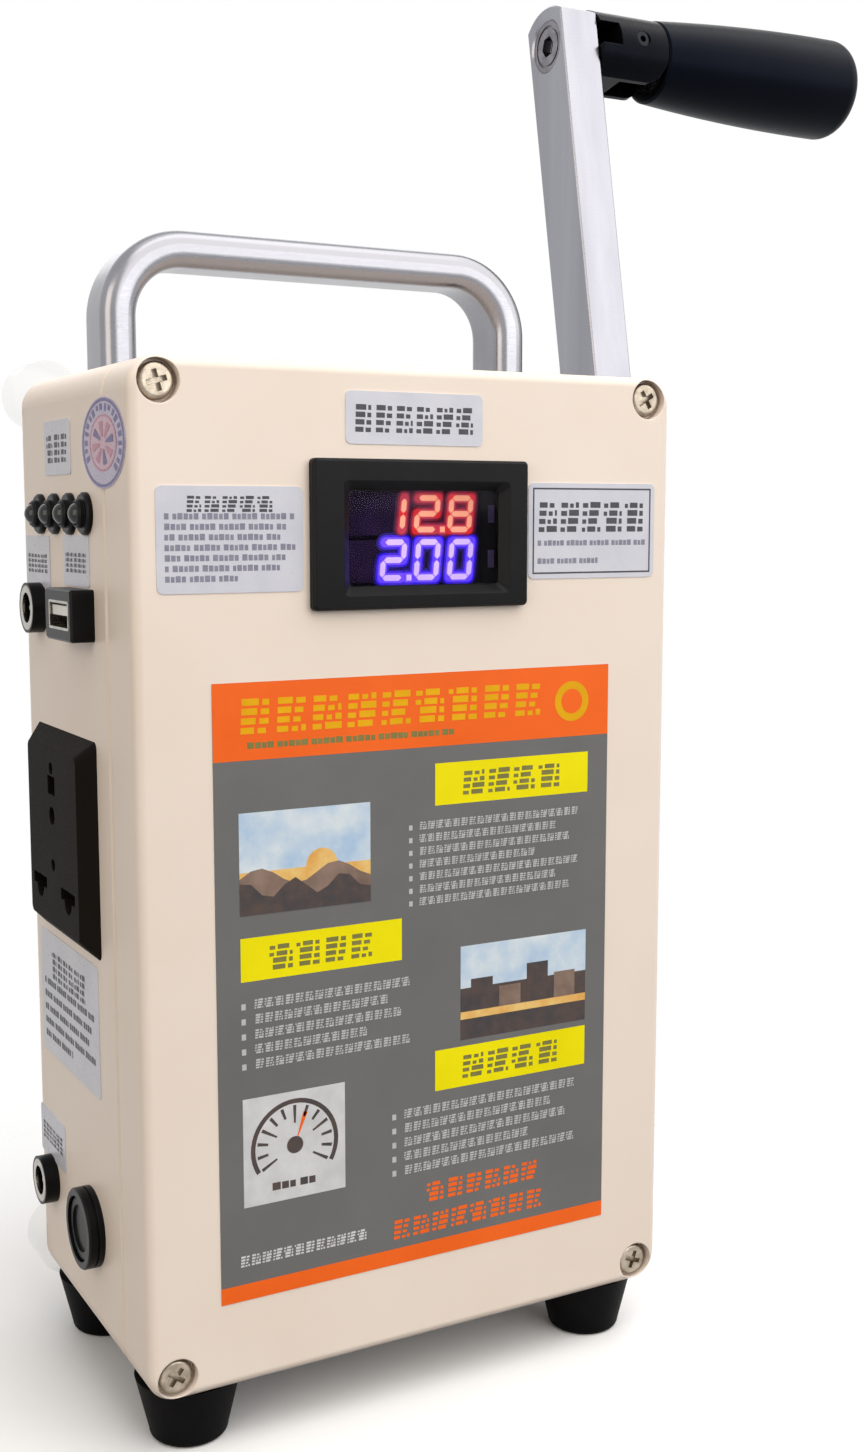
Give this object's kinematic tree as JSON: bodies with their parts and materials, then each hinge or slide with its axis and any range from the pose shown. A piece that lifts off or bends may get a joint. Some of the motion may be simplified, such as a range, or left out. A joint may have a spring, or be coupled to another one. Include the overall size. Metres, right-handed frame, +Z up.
{
  "type": "hand crank generator",
  "caption": "Upright boxed hand crank generator with a side crank and folding grip, carrying handle, panel meter, mains, USB and low-voltage outlets and rubber feet.",
  "frame": {"origin": "on the ground under the middle of the case", "axes": "+Z up, +X to the right along the front face towards the crank, +Y from the front to the back"},
  "size_m": [0.2248, 0.082, 0.3094],
  "materials": {
    "case_plastic": "fine satin moulding",
    "seal_rubber": "matt",
    "screw_steel": "bright nickel",
    "inner_steel": "zinc plated",
    "foot_rubber": "matt",
    "clear_pad": "clear soft",
    "handle_metal": "satin",
    "black_plastic": "moulded",
    "meter_pane": "smoked violet",
    "board_green": "coated laminate",
    "lamp_clear": "clear",
    "contact_nickel": "nickel",
    "contact_brass": "plain",
    "tongue_white": "moulded",
    "arm_metal": "fine satin",
    "gear_steel": "machined",
    "can_steel": "plated",
    "magnet_dark": "ferrite",
    "rotor_copper": "laminations and enamelled wire",
    "cell_wrap": "shrink sleeve",
    "base_metal": "black satin paint",
    "grip_plastic": "matt moulded"
  },
  "bodies": {
    "case": {"base_shell": "case_plastic", "front_lid": "case_plastic", "lid_gasket": "seal_rubber", "lid_screws": "screw_steel", "foot_front_left": "foot_rubber", "foot_front_right": "foot_rubber", "foot_rear_left": "foot_rubber", "foot_rear_right": "foot_rubber", "foot_screws": "inner_steel", "bumper_lower_left": "clear_pad", "bumper_lower_right": "clear_pad", "bumper_upper_left": "clear_pad", "bumper_upper_right": "clear_pad", "carry_handle": "handle_metal", "handle_screws": "inner_steel", "meter_bezel": "black_plastic", "meter_window": "meter_pane", "meter_board": "board_green", "led_bezels": "black_plastic", "led_lamps": "lamp_clear", "dc_jack_upper": "black_plastic", "dc_jack_lower": "black_plastic", "dc_contacts": "contact_nickel", "dc_jack_nuts": "inner_steel", "usb_housing": "black_plastic", "usb_shell": "contact_nickel", "usb_tongue": "tongue_white", "ac_socket_body": "black_plastic", "ac_contacts": "contact_brass", "switch_ring": "black_plastic", "switch_nut": "black_plastic", "bearing_housing": "handle_metal", "housing_screws": "inner_steel", "shaft_bearings": "gear_steel", "gearbox_plate_left": "inner_steel", "gearbox_plate_right": "inner_steel", "idler_axle": "gear_steel", "generator_can": "can_steel", "generator_end_cap": "black_plastic", "generator_magnets": "magnet_dark", "battery_cells": "cell_wrap", "battery_tray": "black_plastic", "inverter_board": "board_green"},
    "crank": {"crank_shaft": "gear_steel", "crank_gear": "gear_steel", "crank_arm": "arm_metal", "hub_screw": "screw_steel", "grip_axle_screw": "screw_steel", "grip_base": "base_metal", "fold_pin": "screw_steel"},
    "idler": {"idler_gear": "gear_steel"},
    "rotor": {"generator_rotor": "rotor_copper", "rotor_pinion": "gear_steel"},
    "grip_link": {"fold_link": "gear_steel"},
    "grip_tube": {"grip_core": "gear_steel", "core_clip": "gear_steel", "grip_spring": "gear_steel"},
    "grip_cover": {"grip_sleeve": "grip_plastic", "grip_end_cap": "grip_plastic"},
    "button": {"power_button": "black_plastic"}
  },
  "joints": [
    {"name": "crank_turn", "type": "hinge", "parent": "case", "child": "crank", "pos_m": [0.069, 0.0045, 0.179], "axis": [1, 0, 0], "continuous": true},
    {"name": "idler_turn", "type": "hinge", "parent": "case", "child": "idler", "pos_m": [0.043, 0.0045, 0.149], "axis": [1, 0, 0], "continuous": true},
    {"name": "rotor_turn", "type": "hinge", "parent": "case", "child": "rotor", "pos_m": [0.005, 0.0045, 0.125], "axis": [1, 0, 0], "continuous": true},
    {"name": "grip_fold", "type": "hinge", "parent": "crank", "child": "grip_link", "pos_m": [0.0915, 0.02717, 0.29786], "axis": [0, 0.9823, -0.1874], "range_deg": [0, 86]},
    {"name": "grip_pull", "type": "slide", "parent": "grip_link", "child": "grip_tube", "axis": [1, 0, 0], "range_m": [0, 0.0052], "deforming": ["grip_spring"]},
    {"name": "grip_spin", "type": "hinge", "parent": "grip_tube", "child": "grip_cover", "pos_m": [0.125, 0.02699, 0.29687], "axis": [1, 0, 0], "continuous": true},
    {"name": "button_press", "type": "slide", "parent": "case", "child": "button", "axis": [1, 0, 0], "range_m": [0, 0.002], "stiffness_N_per_m": 500}
  ],
  "couplings": [
    {"joint": "idler_turn", "follows": "crank_turn", "ratio": -4},
    {"joint": "rotor_turn", "follows": "crank_turn", "ratio": 12},
    {"joint": "grip_pull", "follows": "grip_fold", "m_per_rad": 0.003331}
  ]
}
